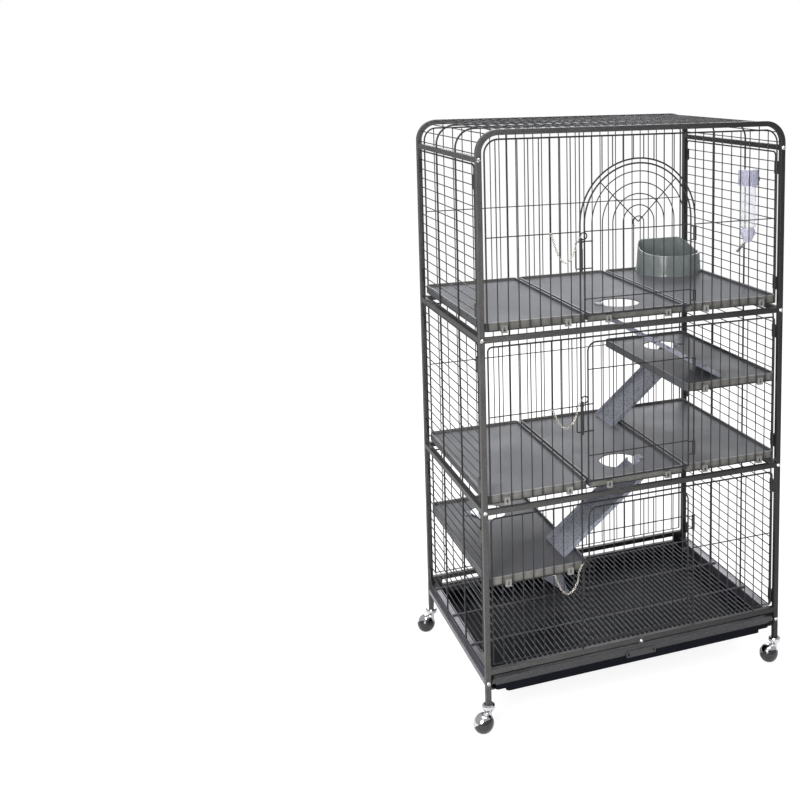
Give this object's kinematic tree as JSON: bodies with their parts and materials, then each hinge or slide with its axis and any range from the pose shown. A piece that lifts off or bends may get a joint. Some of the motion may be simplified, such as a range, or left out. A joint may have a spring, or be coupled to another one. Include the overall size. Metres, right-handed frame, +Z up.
{
  "type": "multi-level small pet cage",
  "caption": "Tall wire cage on swivel casters: tiers of trays and ramps joined by passage holes, hinged front doors with lift latches, sliding litter tray, corner bowl and water bottle.",
  "frame": {"origin": "bottom centre: on the floor, midway between the posts and between the outermost casters", "axes": "+X to the cage's right seen from the front, +Y to the back, +Z up"},
  "size_m": [0.8536, 0.5654, 1.402],
  "materials": {
    "frame_paint": "dark grey hammered coating",
    "steel_bolt": "bright zinc",
    "wire_paint": "dark grey hammered coating",
    "latch_steel": "dark grey coating",
    "chain_steel": "bright zinc",
    "tray_plastic": "fine grained",
    "clip_plastic": "satin",
    "ramp_plastic": "textured tread",
    "litter_plastic": "fine grained",
    "bar_paint": "dark grey coating",
    "chrome": "polished",
    "wheel_plastic": "smooth",
    "bowl_plastic": "smooth",
    "bottle_plastic": "translucent",
    "cap_plastic": "smooth",
    "spout_steel": "polished"
  },
  "bodies": {
    "cage": {"back_hoop": "frame_paint", "back_panel_lower": "wire_paint", "back_panel_middle": "wire_paint", "back_panel_upper": "wire_paint", "base_rails": "frame_paint", "base_side_plates": "frame_paint", "floor_grid": "wire_paint", "frame_bolts": "steel_bolt", "front_hoop": "frame_paint", "front_panel_lower": "wire_paint", "front_panel_middle": "wire_paint", "front_panel_upper": "wire_paint", "left_panel_lower": "wire_paint", "left_panel_middle": "wire_paint", "left_panel_upper": "wire_paint", "level2_rails": "frame_paint", "level3_rails": "frame_paint", "lower_posts": "frame_paint", "middle_posts": "frame_paint", "panel_brackets": "wire_paint", "ramp_lowest": "ramp_plastic", "ramp_second": "ramp_plastic", "ramp_third": "ramp_plastic", "ramp_upper": "ramp_plastic", "right_panel_lower": "wire_paint", "right_panel_middle": "wire_paint", "right_panel_upper": "wire_paint", "roof_panel": "wire_paint", "safety_chains": "chain_steel", "shelf_lower_tier": "tray_plastic", "shelf_middle_tier": "tray_plastic", "top_side_rails": "frame_paint", "tray_clips": "clip_plastic", "tray_level2_left": "tray_plastic", "tray_level2_middle": "tray_plastic", "tray_level2_right": "tray_plastic", "tray_level3_left": "tray_plastic", "tray_level3_middle": "tray_plastic", "tray_level3_right": "tray_plastic"},
    "door_upper": {"door_upper": "wire_paint"},
    "door_middle": {"door_middle": "wire_paint"},
    "door_lower": {"door_lower": "wire_paint"},
    "latch_upper": {"latch_upper": "latch_steel"},
    "latch_middle": {"latch_middle": "latch_steel"},
    "latch_lower": {"latch_lower": "latch_steel"},
    "drawer": {"litter_tray": "litter_plastic", "litter_tray_front": "bar_paint"},
    "turn_button": {"tray_latch": "latch_steel"},
    "swivel_front_left": {"caster_hood_front_left": "chrome"},
    "wheel_front_left": {"caster_wheel_front_left": "wheel_plastic"},
    "swivel_front_right": {"caster_hood_front_right": "chrome"},
    "wheel_front_right": {"caster_wheel_front_right": "wheel_plastic"},
    "swivel_back_left": {"caster_hood_back_left": "chrome"},
    "wheel_back_left": {"caster_wheel_back_left": "wheel_plastic"},
    "swivel_back_right": {"caster_hood_back_right": "chrome"},
    "wheel_back_right": {"caster_wheel_back_right": "wheel_plastic"},
    "bowl": {"feeding_bowl": "bowl_plastic"},
    "water_bottle": {"bottle": "bottle_plastic", "bottle_cap": "cap_plastic", "bottle_spout": "spout_steel"}
  },
  "joints": [
    {"name": "door_upper_hinge", "type": "hinge", "parent": "cage", "child": "door_upper", "pos_m": [0.1485, -0.25365, 1.146], "axis": [0, 0, 1], "range_deg": [0, 160]},
    {"name": "latch_upper_lift", "type": "slide", "parent": "door_upper", "child": "latch_upper", "axis": [0, 0, 1], "range_m": [0, 0.013]},
    {"name": "door_middle_hinge", "type": "hinge", "parent": "cage", "child": "door_middle", "pos_m": [0.1485, -0.25365, 0.73], "axis": [0, 0, 1], "range_deg": [0, 160]},
    {"name": "latch_middle_lift", "type": "slide", "parent": "door_middle", "child": "latch_middle", "axis": [0, 0, 1], "range_m": [0, 0.013]},
    {"name": "door_lower_hinge", "type": "hinge", "parent": "cage", "child": "door_lower", "pos_m": [0.1485, -0.25365, 0.33], "axis": [0, 0, 1], "range_deg": [0, 160]},
    {"name": "latch_lower_lift", "type": "slide", "parent": "door_lower", "child": "latch_lower", "axis": [0, 0, 1], "range_m": [0, 0.013]},
    {"name": "drawer_slide", "type": "slide", "parent": "cage", "child": "drawer", "axis": [0, -1, 0], "range_m": [0, 0.45]},
    {"name": "turn_button_screw", "type": "hinge", "parent": "cage", "child": "turn_button", "pos_m": [0.0024, -0.261, 0.1415], "axis": [0, -1, 0], "range_deg": [-90, 90]},
    {"name": "swivel_front_left_turn", "type": "hinge", "parent": "cage", "child": "swivel_front_left", "pos_m": [-0.38865, -0.25365, 0.06], "axis": [0, 0, 1], "continuous": true},
    {"name": "wheel_front_left_roll", "type": "hinge", "parent": "swivel_front_left", "child": "wheel_front_left", "pos_m": [-0.40279, -0.25866, 0.024], "axis": [-0.2146, 0.6059, 0.766], "continuous": true},
    {"name": "swivel_front_right_turn", "type": "hinge", "parent": "cage", "child": "swivel_front_right", "pos_m": [0.38865, -0.25365, 0.06], "axis": [0, 0, 1], "continuous": true},
    {"name": "wheel_front_right_roll", "type": "hinge", "parent": "swivel_front_right", "child": "wheel_front_right", "pos_m": [0.37388, -0.25105, 0.024], "axis": [0.1116, 0.633, 0.766], "continuous": true},
    {"name": "swivel_back_left_turn", "type": "hinge", "parent": "cage", "child": "swivel_back_left", "pos_m": [-0.38865, 0.25365, 0.06], "axis": [0, 0, 1], "continuous": true},
    {"name": "wheel_back_left_roll", "type": "hinge", "parent": "swivel_back_left", "child": "wheel_back_left", "pos_m": [-0.40279, 0.25866, 0.024], "axis": [0.2146, 0.6059, 0.766], "continuous": true},
    {"name": "swivel_back_right_turn", "type": "hinge", "parent": "cage", "child": "swivel_back_right", "pos_m": [0.38865, 0.25365, 0.06], "axis": [0, 0, 1], "continuous": true},
    {"name": "wheel_back_right_roll", "type": "hinge", "parent": "swivel_back_right", "child": "wheel_back_right", "pos_m": [0.40279, 0.25866, 0.024], "axis": [0.2146, -0.6059, 0.766], "continuous": true},
    {"name": "bowl_lift", "type": "slide", "parent": "cage", "child": "bowl", "axis": [0, 0, 1], "range_m": [0, 0.06]},
    {"name": "water_bottle_lift", "type": "slide", "parent": "cage", "child": "water_bottle", "axis": [0, 0, 1], "range_m": [0, 0.015]}
  ]
}
